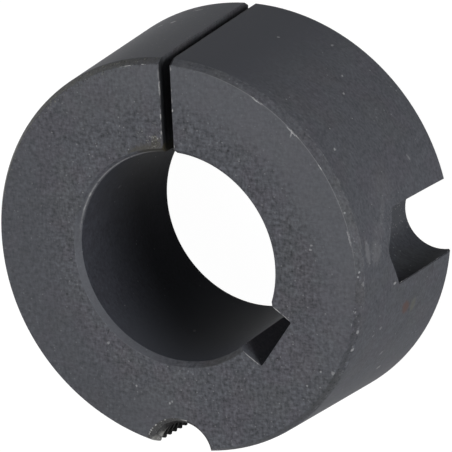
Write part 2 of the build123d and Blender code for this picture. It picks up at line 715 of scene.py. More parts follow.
def blend(tree, mask, under, over, mode="MIX"):
    """Two colours blended by a mask: (1 - mask) under + mask over, or as the mode says."""
    mixed = node(tree, "Mix", {}, data_type="RGBA", blend_type=mode)
    for number, value in ((0, mask), (6, under), (7, over)):
        fill(tree, mixed.inputs[number], value)
    return mixed.outputs[2]


def noise(tree, point, size, detail):
    """Smooth noise with lumps of about the given size, as a number near one half."""
    scale = calc(tree, "DIVIDE", 1.0, size) if isinstance(size, bpy.types.NodeSocket) else 1 / size
    inputs = {"Vector": point, "Scale": scale, "Detail": detail, "Roughness": NOISE_ROUGHNESS}
    return node(tree, "TexNoise", inputs).outputs[0]


print("noise roughness:", NOISE_ROUGHNESS)

# %% Helpers for groups of nodes
SOCKETS = {"value": "NodeSocketFloat", "vector": "NodeSocketVector", "colour": "NodeSocketColor"}


def shader_group(name, inputs, outputs):
    """An empty group with named sockets: its tree, what it is given and what it gives back. Print
    its name and what it gives back, so that the notebook lists the groups."""
    tree = bpy.data.node_groups.new(name, "ShaderNodeTree")
    for way, sockets in (("INPUT", inputs), ("OUTPUT", outputs)):
        for label, kind in sockets.items():
            tree.interface.new_socket(label, in_out=way, socket_type=SOCKETS[kind])
    given = tree.nodes.new("NodeGroupInput").outputs
    result = tree.nodes.new("NodeGroupOutput").inputs
    print("group", name, "takes", list(inputs), "and gives", list(outputs))
    return tree, given, result


def use(tree, group, **values):
    """Place a group in a tree and fill its inputs. An input's name has spaces for underscores."""
    placed = node(tree, "Group", {}, node_tree=group)
    for name, value in values.items():
        fill(tree, placed.inputs[name.replace("_", " ").capitalize()], value)
    return placed.outputs


print("sockets are", list(SOCKETS))


# %% [markdown]
# ### Where on the bush
# Turned work is easiest to describe as the lathe sees it: how far round, how far out, how far
# along. One group turns the object's coordinates into an angle in degrees and two distances in
# millimetres, and every mark below is placed by those.

# %% The group that finds a place on the bush
place_on_bush, given, result = shader_group(
    "place_on_bush", {"Where": "vector"},
    {"Point": "vector", "Angle": "value", "Out": "value", "Height": "value"},
)
in_mm = node(
    place_on_bush, "VectorMath", {0: given["Where"], "Scale": 1 / MM}, operation="SCALE"
).outputs[0]
x, y, z = node(place_on_bush, "SeparateXYZ", {0: in_mm}).outputs
turn = calc(place_on_bush, "ARCTAN2", y, x)
squares = calc(place_on_bush, "ADD", calc(place_on_bush, "MULTIPLY", x, x),
               calc(place_on_bush, "MULTIPLY", y, y))
fill(place_on_bush, result["Point"], in_mm)
fill(place_on_bush, result["Angle"], calc(place_on_bush, "DEGREES", turn))
fill(place_on_bush, result["Out"], calc(place_on_bush, "SQRT", squares))
fill(place_on_bush, result["Height"], z)

# %% [markdown]
# ### The coat's grain
# The coat is a phosphate: crystals grown on the iron in a hot bath. Close to, it is a fine mottle
# a third of a millimetre across, over softer clouds some millimetres wide. Tumbling has drawn the
# mottle out into short strokes that cross each other, so the finest noise is made twice, once
# stretched each way. The group also gives the mottle's height, for the bump.

# %% The grain group
NOISE_SWING = 8.0  # noise strays about an eighth from one half, so this makes it stray about one
coat_grain, given, result = shader_group(
    "coat_grain",
    {"Point": "vector", "Fine": "value", "Cloud": "value", "Size": "value"},
    {"Shade": "value", "Height": "value"},
)
strokes = []
for stretch in ((0.5, 1.0, 1.0), (1.0, 0.5, 1.0)):
    stretched = node(coat_grain, "VectorMath", {0: given["Point"], 1: stretch},
                     operation="MULTIPLY").outputs[0]
    strokes.append(noise(coat_grain, stretched, given["Size"], 3.0))
fine_noise = calc(coat_grain, "MULTIPLY", calc(coat_grain, "ADD", *strokes), 0.5)
patch_noise = noise(coat_grain, given["Point"], 1.9, 2.0)
cloud_noise = noise(coat_grain, given["Point"], 8.0, 1.0)
shade = None
for source, amount, share in (
    (fine_noise, given["Fine"], 1.4), (patch_noise, given["Cloud"], 1.0),
    (cloud_noise, given["Cloud"], 0.6),
):
    swing = calc(coat_grain, "MULTIPLY", calc(coat_grain, "SUBTRACT", source, 0.5),
                 NOISE_SWING * share)
    part = calc(coat_grain, "MULTIPLY", swing, amount)
    shade = calc(coat_grain, "ADD", 1.0 if shade is None else shade, part)
fill(coat_grain, result["Shade"], shade)
fill(coat_grain, result["Height"], fine_noise)

# %% [markdown]
# ### Pale specks
# Here and there a crystal has broken off and the spot shines pale. A Voronoi pattern scatters
# points through space, one to a cell; where one lies near the surface it leaves a round spot, and
# each cell's random colour decides whether its point counts and how pale it is.

# %% The speck group
pale_specks, given, result = shader_group(
    "pale_specks",
    {"Point": "vector", "Spacing": "value", "Size": "value", "Share": "value"},
    {"Mask": "value"},
)
cells = node(pale_specks, "TexVoronoi", {
    "Vector": given["Point"],
    "Scale": calc(pale_specks, "DIVIDE", 1.0, given["Spacing"]),
}).outputs
distance = calc(pale_specks, "MULTIPLY", cells["Distance"], given["Spacing"])
nearness = calc(pale_specks, "DIVIDE", distance, given["Size"])
lots = node(pale_specks, "SeparateColor", {0: cells["Color"]}).outputs
chosen = calc(pale_specks, "LESS_THAN", lots[0], given["Share"])
how_pale = calc(pale_specks, "MULTIPLY_ADD", lots[1], 0.7, 0.3)  # from 0.3 to 1
spot_mask = calc(pale_specks, "MULTIPLY", eased(pale_specks, nearness, 1.0, 0.35), chosen)
fill(pale_specks, result["Mask"], calc(pale_specks, "MULTIPLY", spot_mask, how_pale))

# %% [markdown]
# ### Tints
# The coat isn't one grey. It goes faintly purple where it grew thick and faintly green-brown where
# oil stayed on it. Two slow noises pick the patches, and each multiplies the colour by its tint.

# %% The tint group
coat_tint, given, result = shader_group(
    "coat_tint", {"Base": "colour", "Point": "vector", "Purple": "value", "Olive": "value"},
    {"Colour": "colour"},
)
purple_patch = eased(coat_tint, noise(coat_tint, given["Point"], 4.5, 1.0), 0.48, 0.60)
moved = node(coat_tint, "VectorMath", {0: given["Point"], 1: (31.0, 17.0, 5.0)}).outputs[0]
olive_patch = eased(coat_tint, noise(coat_tint, moved, 5.5, 1.0), 0.50, 0.62)
purple = blend(
    coat_tint, calc(coat_tint, "MULTIPLY", purple_patch, given["Purple"]), given["Base"],
    (1.06, 0.95, 1.0), "MULTIPLY",
)
tinted = blend(
    coat_tint, calc(coat_tint, "MULTIPLY", olive_patch, given["Olive"]), purple,
    (1.0, 1.0, 0.90), "MULTIPLY",
)
fill(coat_tint, result["Colour"], tinted)

# %% [markdown]
# ### Tool lines
# A lathe tool leaves fine rings, a drill leaves rings inside its hole, and a broach or a saw
# leaves straight scratches. All are noise in one direction only: the group is given a point that
# has already been squeezed across the lines, and adds them to the shade and to the height.

# %% The tool line group
tool_lines, given, result = shader_group(
    "tool_lines", {"Across": "value", "Pitch": "value", "Strength": "value"}, {"Shade": "value"}
)
line_noise = node(tool_lines, "TexNoise", {
    "W": calc(tool_lines, "DIVIDE", given["Across"], given["Pitch"]),
    "Scale": 1.0, "Detail": 2.0, "Roughness": 0.7,
}, noise_dimensions="1D").outputs[0]
line_swing = calc(tool_lines, "MULTIPLY", calc(tool_lines, "SUBTRACT", line_noise, 0.5),
                  NOISE_SWING)
fill(tool_lines, result["Shade"],
     calc(tool_lines, "ADD", 1.0, calc(tool_lines, "MULTIPLY", line_swing, given["Strength"])))

# %% [markdown]
# ### Rubbed edges
# Corners lose the coat first. The mesh carries a number that is 1 along each corner, and the group
# lets it through only where a noise is high, so that the bare line breaks up. Cover says how much
# of the line is bare.

# %% The rubbed edge group
COVER_NONE = 0.80  # what the noise has to pass where none of the line is to be bare
COVER_REACH = 0.6  # how far full cover brings that down
rubbed_edge, given, result = shader_group(
    "rubbed_edge", {"Edge": "value", "Point": "vector", "Cover": "value"}, {"Mask": "value"}
)
lowered = calc(rubbed_edge, "MULTIPLY", given["Cover"], COVER_REACH)
threshold = calc(rubbed_edge, "SUBTRACT", COVER_NONE, lowered)
above = calc(rubbed_edge, "SUBTRACT", noise(rubbed_edge, given["Point"], 0.9, 3.0), threshold)
fill(rubbed_edge, result["Mask"],
     calc(rubbed_edge, "MULTIPLY", eased(rubbed_edge, above, -0.06, 0.06), given["Edge"]))

# %% [markdown]
# ### Single marks
# A smear, a scratch, a nick or a rust spot is an ellipse placed on the surface by two distances:
# how far round and how far along, where "along" is the height on a side wall and the distance from
# the axis on an end face. It may lean, and a noise makes its outline ragged.

# %% The mark group
one_mark, given, result = shader_group(
    "one_mark",
    {"Round": "value", "Along": "value", "Ragged": "value", "At round": "value",
     "At along": "value", "Half round": "value", "Half along": "value", "Lean": "value",
     "Strength": "value"},
    {"Mask": "value"},
)
along_by = calc(one_mark, "SUBTRACT", given["Along"], given["At along"])
round_by = calc(one_mark, "SUBTRACT", calc(one_mark, "SUBTRACT", given["Round"], given["At round"]),
                calc(one_mark, "MULTIPLY", along_by, given["Lean"]))
round_by = calc(one_mark, "WRAP", round_by, 180.0, -180.0)
halves = (
    calc(one_mark, "DIVIDE", round_by, given["Half round"]),
    calc(one_mark, "DIVIDE", along_by, given["Half along"]),
)
squared = [calc(one_mark, "POWER", part, 2.0) for part in halves]
from_middle = calc(one_mark, "SQRT", calc(one_mark, "ADD", *squared))  # 1 on the ellipse
within = eased(one_mark, calc(one_mark, "ADD", from_middle, given["Ragged"]), 1.15, 0.45)
fill(one_mark, result["Mask"], calc(one_mark, "MULTIPLY", within, given["Strength"]))

# %% [markdown]
# ## Putting a finish together
# Every finish starts the same way: the coat's colour, tinted, shaded by the grain and sprinkled
# with specks. Marks are then laid on it from a short list. Last it is closed: bare places turn to
# metal, and the grain's height goes to the bump.

# %% Colours that the finishes share
COAT = (0.0890, 0.0925, 0.1050)  # the coat where it is neither thin nor oily
PALE = (0.235, 0.235, 0.245)  # broken crystals and rubbed coat
BRIGHT = (0.70, 0.70, 0.69)  # chips of bright iron and chalky dust
OLIVE = (0.110, 0.105, 0.082)  # dried oil
TAN = (0.205, 0.198, 0.172)  # dried oil with fine swarf in it
print("the coat:", COAT, "bare iron:", BRIGHT)

# %% Start a finish
RAGGED_SIZE = 0.45  # the size in millimetres of the bites in a mark's outline
SPECK_SPACING = 0.6
SPECK_SIZE = 0.15


def start_finish(name, colour, shine, fine, cloud, specks, tint=(0.5, 0.4), size=0.38):
    """The coat: its colour, tinted, times the grain's shade, with a share of pale specks. Shine is
    the specular level, fine and cloud are how strong the fine grain and the clouds are, tint is
    how much purple and olive, and size is the fine grain's own in millimetres."""
    print(name, "starts from", colour)
    material = bpy.data.materials.new(name)
    material.use_nodes = True
    tree = material.node_tree
    shader = tree.nodes["Principled BSDF"]
    shader.inputs["Specular IOR Level"].default_value = shine
    spot = use(tree, place_on_bush, where=node(tree, "TexCoord", {}).outputs["Object"])
    grain = use(tree, coat_grain, point=spot["Point"], fine=fine, cloud=cloud, size=size)
    coat = use(tree, coat_tint, base=colour, point=spot["Point"], purple=tint[0], olive=tint[1])
    ragged = calc(tree, "SUBTRACT", noise(tree, spot["Point"], RAGGED_SIZE, 2.0), 0.5)
    finish = {
        "material": material, "tree": tree, "shader": shader, "spot": spot, "grain": grain,
        "coat": coat["Colour"], "ragged": calc(tree, "MULTIPLY", ragged, 2.0), "bare": None,
    }
    shade(finish, grain["Shade"])
    lay(finish, scatter(finish, SPECK_SPACING, SPECK_SIZE, specks), PALE)
    return finish


def scatter(finish, spacing, size, share):
    """Round spots of a size, one to a cell of the spacing, in a share of the cells."""
    return use(
        finish["tree"], pale_specks, point=finish["spot"]["Point"], spacing=spacing, size=size,
        share=share,
    )["Mask"]


def shade(finish, factor):
    """Multiply a finish's colour by a factor that changes over the surface."""
    finish["coat"] = blend(finish["tree"], 1.0, finish["coat"], factor, "MULTIPLY")


def lay(finish, mask, colour):
    """Lay a colour on a finish where a mask is: (1 - mask) coat + mask colour."""
    finish["coat"] = blend(finish["tree"], mask, finish["coat"], colour)


def wear(finish, mask):
    """Bare the iron where a mask is, besides what is bare already."""
    before = finish["bare"]
    finish["bare"] = mask if before is None else calc(finish["tree"], "MAXIMUM", before, mask)


def times(finish, mask, by):
    """A mask multiplied by another or by a number."""
    return calc(finish["tree"], "MULTIPLY", mask, by)


print("specks lie", SPECK_SPACING, "mm apart and are", 2 * SPECK_SIZE, "mm wide at most")

# %% Masks: marks from a list, lines on edges, one end only
small_end_edge = (length - 0.16, length - 0.08)


def marks(finish, along, places, across="Angle", rough=1.0):
    """The greatest of several marks at each point. Each place is its two distances, half its size
    in both, how far it leans for each millimetre along, and its strength."""
    tree, spot = finish["tree"], finish["spot"]
    ragged = calc(tree, "MULTIPLY", finish["ragged"], rough)
    mask = None
    for at_round, at_along, half_round, half_along, lean, strength in places:
        one = use(
            tree, one_mark, round=spot[across], along=spot[along], ragged=ragged,
            at_round=at_round, at_along=at_along, half_round=half_round, half_along=half_along,
            lean=lean, strength=strength,
        )["Mask"]
        mask = one if mask is None else calc(tree, "MAXIMUM", mask, one)
    return mask


def marked(finish, attribute):
    """The number that the mesh carries for its edges or its ridges."""
    return node(finish["tree"], "Attribute", {}, attribute_name=attribute).outputs["Fac"]


def line_on(finish, attribute, cover, limit=None):
    """A broken line along the edges or the ridges that the mesh has marked, within a limit."""
    line = use(
        finish["tree"], rubbed_edge, edge=marked(finish, attribute), point=finish["spot"]["Point"],
        cover=cover,
    )["Mask"]
    return line if limit is None else times(finish, line, limit)


def above(finish, place, low, high):
    """A mask that rises from 0 to 1 as an angle or a distance goes from low to high."""
    return eased(finish["tree"], finish["spot"][place], low, high)


def at_small_end(finish, mask):
    """Keep a mask on the small end's face and its rounded edges only."""
    return times(finish, mask, above(finish, "Height", *small_end_edge))


print("the small end's rounded edge lies between", small_end_edge, "mm")

# %% Ways to lay a colour, and the end of a finish
BARE_METALLIC = 0.8
BARE_SMOOTHER = 0.2  # how much less rough bare iron is


def stain(finish, along, places, colour, rough=1.0):
    """Lay one colour on several marks."""
    lay(finish, marks(finish, along, places, rough=rough), colour)


def sprinkle(finish, patch, spacing, size, share, colour):
    """Lay a colour on round grains, where a patch is."""
    lay(finish, times(finish, scatter(finish, spacing, size, share), patch), colour)


def rule(finish, across, pitch, strength):
    """Shade a finish by a tool's lines, which follow each other across a distance or an angle."""
    shade(finish, use(
        finish["tree"], tool_lines, across=finish["spot"][across], pitch=pitch, strength=strength
    )["Shade"])


def close_finish(finish, roughness, bump_mm):
    """Turn bare places to metal, and send the coat, its roughness and its bump to the shader. The
    roughness swings with the grain, which is one half on average, and bare iron is smoother."""
    tree, shader = finish["tree"], finish["shader"]
    bare = finish["bare"]
    swing = 0.3
    rough = calc(tree, "MULTIPLY_ADD", finish["grain"]["Height"], swing, roughness - swing / 2)
    if bare is not None:
        lay(finish, bare, BRIGHT)
        fill(tree, shader.inputs["Metallic"], times(finish, bare, BARE_METALLIC))
        rough = calc(tree, "SUBTRACT", rough, times(finish, bare, BARE_SMOOTHER))
    fill(tree, shader.inputs["Base Color"], finish["coat"])
    fill(tree, shader.inputs["Roughness"], rough)
    bump = node(tree, "Bump", {
        "Strength": 1.0, "Distance": bump_mm * MM, "Height": finish["grain"]["Height"],
    })
    fill(tree, shader.inputs["Normal"], bump.outputs[0])
    mesh.materials.append(finish["material"])
    print(finish["material"].name, "has", len(tree.nodes), "nodes")


print("bare iron is", BARE_METALLIC, "metallic and", BARE_SMOOTHER, "smoother than the coat")


# %% [markdown]
# ## The end faces
# The faces were turned flat, tumbled and coated, so their grain is the coarsest and no tool line is
# left. The small end is painted paler towards the screw pocket at +X and dimmer on the far side, as
# painted light and shade. Swarf and dried oil sit in the corner where the slot meets the bore, and
# the tapped hole's mouth has a row of painted glints on its edge, where the countersink left a burr.
# The rim has small nicks, light where they are fresh. The slot, the keyway and the thread share the
# marks that lie across their edges with the face, burrs and edges with painted highlights, so
# those have names.

# %% Marks that cross from the face into a cut
# each mark: its angle, its distance from the axis, half its size both ways, its lean, its strength
# painted glints on the burr round the tapped hole's mouth
BURR_GLINTS = [
    (-101.6, 25.60, 0.25, 0.12, 0, 0.5),
    (-101.5, 25.30, 0.25, 0.12, 0, 0.6),
    (-101.2, 24.95, 0.25, 0.12, 0, 0.6),
    (-100.8, 24.60, 0.25, 0.12, 0, 0.5),
    (-99.8, 24.00, 0.40, 0.19, 0, 0.6),
    (-97.9, 23.38, 0.36, 0.18, 0, 0.7),
    (-96.5, 22.95, 0.42, 0.20, 0, 1.0),
    (-93.4, 22.54, 0.38, 0.17, 0, 0.8),
    (-90.0, 22.44, 2.30, 0.13, 0, 0.7),
]
# painted highlights along the keyway's edges at the small end
KEY_EDGE_HIGHLIGHTS = [
    (-19.55, 15.70, 0.26, 0.80, -0.95, 0.60),
    (-20.87, 17.10, 0.24, 0.80, -0.95, 0.40),
    (-49.00, 16.35, 0.25, 1.40, 0.90, 0.45),
]
# the saw's burr beside the slot, with a painted white highlight on it
SLOT_BURR_HIGHLIGHTS = [
    (92.15, 23.0, 0.26, 1.20, -0.10, 0.50),
    (92.10, 24.7, 0.24, 0.90, -0.10, 0.18),
    (92.65, 19.2, 0.26, 0.45, -0.12, 0.42),
    (92.55, 20.0, 0.22, 0.30, -0.12, 0.20),
    (93.05, 17.1, 0.30, 0.40, -0.15, 0.40),
    (92.95, 17.9, 0.26, 0.30, -0.14, 0.15),
    (87.60, 21.5, 0.30, 0.45, 0.10, 0.20),
    (87.45, 20.2, 0.32, 0.25, 0.10, 0.50),
    (87.90, 25.7, 0.30, 0.30, 0.10, 0.25),
    (87.70, 22.9, 0.28, 0.25, 0.10, 0.15),
    (86.75, 15.4, 0.40, 0.30, 0.15, 0.40),
]
# the beads are painted glints, the keyway's rubs painted highlights, the burr has painted highlights
print(len(BURR_GLINTS), "beads,", len(KEY_EDGE_HIGHLIGHTS), "rubs at the keyway,", len(SLOT_BURR_HIGHLIGHTS), "bits of burr")

# %% The end faces' finish: painted light and shade, swarf and oil
face_painted_light = (0.118, 0.122, 0.136)
face_painted_shade = (0.073, 0.077, 0.088)
face = start_finish("coated_face", COAT, 0.12, 0.31, 0.042, 0.28, tint=(0.40, 0.25))
# painted light: the face paler towards +X, by the slot and by the tapped hole
stain(face, "Out", [
    (48, 25.5, 85, 7.0, 0, 0.65),
    (112, 24.0, 22, 5.0, 0, 0.32),
    (-101, 23.5, 14, 6.0, 0, 0.35),
], face_painted_light, rough=0.2)
# painted shade: the face dimmer on its -X side
stain(face, "Out", [(200, 25.0, 75, 9.0, 0, 0.50)], face_painted_shade, rough=0.2)
debris = marks(face, "Out", [
    (96.6, 15.75, 4.4, 1.25, 0, 1.0),
    (103.5, 17.2, 2.2, 0.7, 0, 0.6),
    (96.0, 17.6, 1.2, 1.0, 0, 0.6),
])
grime = marks(face, "Out", [(102, 15.15, 13.0, 0.7, 0, 0.6), (96.0, 15.6, 4.0, 1.0, 0, 0.6)])
lay(face, grime, (0.074, 0.070, 0.052))
sprinkle(face, debris, 0.24, 0.11, 0.35, (0.050, 0.049, 0.044))
sprinkle(face, debris, 0.22, 0.11, 0.50, TAN)
sprinkle(face, debris, 0.27, 0.13, 0.55, (0.40, 0.40, 0.385))
sprinkle(face, grime, 0.26, 0.11, 0.40, (0.040, 0.038, 0.028))
left_rim = marks(face, "Out", [(122, 26.0, 30, 0.6, 0, 1.0), (155, 26.05, 35, 0.4, 0, 0.8)])
sprinkle(face, left_rim, 0.32, 0.15, 0.45, (0.185, 0.182, 0.160))
sprinkle(face, left_rim, 0.36, 0.16, 0.40, (0.042, 0.040, 0.036))

# %% Nicks, pits and bare places on the faces
fresh_nick = (0.34, 0.34, 0.35)
black_pit = (0.030, 0.031, 0.035)
stain(face, "Out", [
    (12.6, 26.08, 2.6, 0.16, 0, 0.75),
    (60.0, 26.12, 1.9, 0.15, 0, 0.9),
    (46.6, 26.10, 2.3, 0.17, 0, 1.0),
    (46.2, 25.75, 0.3, 0.45, 0.9, 0.8),
    (250, 19.6, 0.5, 0.20, 0, 0.8),
    (230.4, 16.7, 0.75, 0.24, 0, 0.6),
    (-9.1, 26.10, 0.5, 0.18, 0, 0.8),
    (-13.2, 26.05, 0.5, 0.16, 0, 0.6),
    (-29.7, 25.87, 0.7, 0.30, 0, 0.6),
    (-31.9, 24.4, 0.45, 0.20, 0, 0.8),
    (-39.0, 24.0, 0.35, 0.16, 0, 0.7),
    (10.0, 20.2, 0.6, 0.25, 0, 0.7),
    (11.6, 20.5, 0.4, 0.2, 0, 0.6),
    (-95.0, 20.3, 0.5, 0.2, 0, 0.8),
    (-94.0, 20.0, 0.4, 0.16, 0, 0.6),
], fresh_nick)
stain(face, "Out", [
    (227.0, 15.5, 0.35, 0.45, 1.5, 0.8),
    (231.3, 16.9, 0.3, 0.2, 0, 0.6),
    (202, 17.9, 0.6, 0.22, 0, 0.7),
    (1.1, 26.2, 0.35, 0.2, 0, 0.7),
], black_pit)
# painted glints and highlights on the burrs and the keyway's edges at the small end
lay(face, at_small_end(face, marks(face, "Out", BURR_GLINTS + KEY_EDGE_HIGHLIGHTS + SLOT_BURR_HIGHLIGHTS, rough=0.7)), BRIGHT)
wear(face, marks(face, "Out", [
    (60.0, 26.16, 1.6, 0.12, 0, 0.7),
    (46.6, 26.14, 2.0, 0.14, 0, 0.40),
], rough=0.4))
close_finish(face, 0.60, 0.022)

# %% [markdown]
# ## The chamfers of the outside
# The chamfer was turned after the cone. In places it is painted as pale as the face, most near the
# screw pocket, as painted light, and beside the slot it is painted dimmer, as painted shade. Its
# lower corner is rubbed pale. Away from there its upper part is dark, where the tool tore the iron
# into small pits and oil stayed in them. The rim of the face above it has a thin painted highlight
# on the side that looks to the front.

# %% The chamfers' finish: painted light and shade, pits and oil
chamfer = start_finish("coated_chamfer", COAT, 0.08, 0.26, 0.05, 0.30, tint=(0.3, 0.5))
# painted light: paler tones near the screw pocket, towards the front and left of the slot
stain(chamfer, "Height", [
    (18, 24.8, 36, 1.1, 0, 0.22),
    (55, 24.8, 50, 1.1, 0, 0.15),
    (118, 24.95, 16, 0.6, 0, 0.4),
], (0.140, 0.143, 0.155), rough=0.3)
# painted shade: a dimmer tone beside the slot
stain(chamfer, "Height", [(92, 24.8, 24, 1.1, 0, 0.3)], (0.072, 0.075, 0.084), rough=0.3)
pitted = marks(chamfer, "Height", [
    (-42, 25.02, 48, 0.42, 0, 0.9),
    (108, 24.55, 24, 0.36, 0, 1.0),
    (150, 24.95, 45, 0.8, 0, 0.9),
], rough=0.6)
lay(chamfer, times(chamfer, pitted, 0.55), (0.058, 0.060, 0.064))
sprinkle(chamfer, pitted, 0.42, 0.20, 0.45, (0.036, 0.036, 0.036))
oily = marks(chamfer, "Height", [(118, 24.85, 26, 0.7, 0, 1.0), (150, 24.9, 40, 0.9, 0, 0.8)])
lay(chamfer, times(chamfer, oily, 0.25), OLIVE)
sprinkle(chamfer, oily, 0.32, 0.14, 0.40, (0.200, 0.195, 0.165))
sprinkle(chamfer, oily, 0.36, 0.16, 0.40, (0.036, 0.035, 0.030))

# %% The chamfers' painted rim highlight, rubbed corners and nicks
# painted highlight: a pale broken line on the rim's edge, on the side that looks to the front
rim_highlight_side = marks(chamfer, "Height", [(42, 25.4, 46, 1.2, 0, 1.0)], rough=0.2)
lay(chamfer, times(chamfer, marked(chamfer, "edge"), times(chamfer, rim_highlight_side, 0.6)), PALE)
low_corner = marks(
    chamfer, "Height", [(30, 24.4, 52, 1.0, 0, 1.0), (-40, 24.4, 30, 1.0, 0, 0.4)], rough=0.2
)
lay(chamfer, line_on(chamfer, "ridge", 0.55, times(chamfer, low_corner, 0.5)), PALE)
stain(chamfer, "Height", [
    (19.7, 25.15, 0.35, 0.17, 0, 0.8),
    (2.4, 24.90, 0.40, 0.18, 0, 0.9),
    (1.1, 25.10, 0.30, 0.13, 0, 0.8),
    (-1.2, 24.45, 0.80, 0.26, 0, 0.35),
    (-15.5, 24.5, 0.60, 0.24, 0, 0.7),
    (-21.2, 24.5, 0.60, 0.24, 0, 0.8),
    (-9.3, 25.3, 0.40, 0.15, 0, 0.6),
], (0.36, 0.36, 0.37))
speckled = marks(chamfer, "Height", [(-14, 24.6, 26, 0.5, 0, 0.8)])
sprinkle(chamfer, speckled, 0.5, 0.15, 0.3, (0.30, 0.30, 0.31))
wear(chamfer, line_on(chamfer, "edge", 0.45, marks(chamfer, "Height", [
    (60.0, 25.4, 2.2, 0.5, 0, 1.0),
    (46.0, 25.3, 3.0, 0.5, 0, 0.55),
    (34.0, 25.4, 1.2, 0.5, 0, 0.7),
    (12.6, 25.4, 2.2, 0.4, 0, 0.6),
    (98.0, 25.4, 9.0, 0.4, 0, 0.5),
])))
close_finish(chamfer, 0.55, 0.03)

# %% [markdown]
# ## The cone
# The cone seats in the hub, so it was turned fine before it was coated: a finer, quieter grain. On
# the -X side of the slot the coat is painted paler, as painted light, and on its +X side a little
# dimmer, as painted shade. The marks are its own: pale smears beside the screw pocket, where
# screws' heads have rubbed, a small spot of rust, and bright specks.

# %% The cone's finish: painted light and shade, and the smears beside the pocket
cone = start_finish("coated_cone", (0.0880, 0.0918, 0.1040), 0.022, 0.15, 0.035, 0.05,
                    tint=(0.25, 0.20))
# painted shade: the cone dimmer on the +X side of the slot
stain(cone, "Height", [(88, 12.7, 32, 60, 0, 0.9)], (0.073, 0.076, 0.088), rough=0.1)
# painted light: the cone paler on the -X side of the slot, with pale specks in it
cone_painted_light = times(
    cone, above(cone, "Angle", 89.3, 90.7),
    marks(cone, "Height", [(125, 12.7, 60, 60, 0, 0.8)], rough=0.1),
)
lay(cone, cone_painted_light, (0.118, 0.122, 0.135))
sprinkle(cone, cone_painted_light, 0.45, 0.14, 0.22, PALE)
halo = marks(cone, "Height", [
    (6.6, 22.9, 4.2, 0.60, 0, 0.38),
    (5.6, 20.8, 4.0, 1.5, 0, 0.26),
    (14.4, 17.7, 2.0, 2.5, -2.86, 0.16),
    (10.5, 19.4, 3.0, 1.8, 0, 0.12),
    (20.0, 16.0, 5.0, 3.0, 0, 0.08),
], rough=0.5)
lay(cone, halo, PALE)
sprinkle(cone, times(cone, halo, 4.0), 0.40, 0.16, 0.35, PALE)
chips = marks(cone, "Height", [(8, 16.8, 8, 3.6, 0, 0.8), (13, 14, 5, 4, 0, 0.6)])
sprinkle(cone, chips, 0.36, 0.13, 0.40, PALE)
sprinkle(cone, chips, 0.33, 0.13, 0.40, (0.052, 0.054, 0.060))

# %% The cone's bright specks, its rust and its rubbed corner
stain(cone, "Height", [
    (36, 21.4, 0.5, 0.25, 0, 0.9),
    (47.5, 11.8, 0.4, 0.24, 0, 0.8),
    (51.8, 9.1, 0.4, 0.24, 0, 0.7),
    (72.4, 9.6, 0.5, 0.25, 0, 0.8),
    (23.8, 7.5, 0.8, 0.3, 1.5, 0.4),
    (60.8, 4.6, 0.4, 0.24, 0, 0.6),
    (107.4, 7.3, 1.1, 0.5, 0, 0.9),
    (111.9, 7.2, 0.8, 0.4, 0, 0.7),
    (104.0, 3.1, 1.6, 0.35, 0, 0.7),
    (105.6, 2.1, 1.2, 0.3, 0, 0.7),
    (-38.1, 10.6, 0.8, 0.5, 0, 0.6),
    (-30.2, 13.8, 0.6, 0.4, 0, 0.35),
    (-19.0, 17.9, 0.6, 0.4, 0, 0.35),
    (-20.2, 19.6, 0.5, 0.4, 0, 0.25),
    (-6.4, 16.2, 0.45, 0.55, 0, 1.0),
], (0.32, 0.32, 0.33))
stain(cone, "Height", [(-17.0, 9.6, 2.6, 0.8, 0, 0.5)], (0.135, 0.135, 0.112), rough=0.5)
rust = marks(cone, "Height", [(-16.4, 11.75, 2.3, 1.15, 0.67, 0.85)], rough=0.5)
lay(cone, rust, (0.108, 0.070, 0.064))
low_corner = marks(cone, "Height", [(28, 24.3, 50, 1.0, 0, 1.0)], rough=0.2)
lay(cone, line_on(cone, "ridge", 0.5, times(cone, low_corner, 0.4)), PALE)
wear(cone, line_on(cone, "edge", 0.3, marks(cone, "Height", [(-6, 8, 4, 9, 0, 0.6)])))
close_finish(cone, 0.50, 0.008)

# %% [markdown]
# ## The bore
# The bore is smooth. Its colour is painted dimmer than the outside, as painted shade in the deep
# hole. Opposite the slot a broad band is painted a little paler, as painted light, and a few
# scratches show where shafts went in.

# %% The bore's finish
# painted shade: the bore's base colour is set well below the coat's
bore = start_finish("coated_bore", (0.0400, 0.0422, 0.0515), 0.016, 0.16, 0.07, 0.06,
                    tint=(0.1, 0.0))
# painted light: a pale band opposite the slot
stain(bore, "Height", [(268, 20, 52, 60, 0, 0.9)], (0.054, 0.0575, 0.069), rough=0.2)
stain(bore, "Height", [
    (156, 16.0, 0.9, 0.5, 0, 0.5),
    (256, 14.6, 0.9, 0.5, 1.0, 0.6),
    (140, 24.42, 30, 0.16, 0, 0.5),
], (0.15, 0.15, 0.16))
lay(bore, line_on(bore, "edge", 0.4), (0.09, 0.09, 0.10))
wear(bore, line_on(bore, "edge", 0.25, marks(bore, "Height", [(-35, 25, 9, 30, 0, 0.4)])))
close_finish(bore, 0.50, 0.006)

# %% [markdown]
# ## The chamfers of the bore
# They are cut by the same tool as the faces and have the faces' grain. The small end's is painted
# pale where it looks to the front, as painted light, and dark by the slot. Its lower corner has
# been rubbed bright by the shafts pushed through it.

# %% The bore chamfers' finish
lead_in = start_finish("coated_lead_in", (0.0900, 0.0935, 0.1060), 0.05, 0.22, 0.04, 0.25)
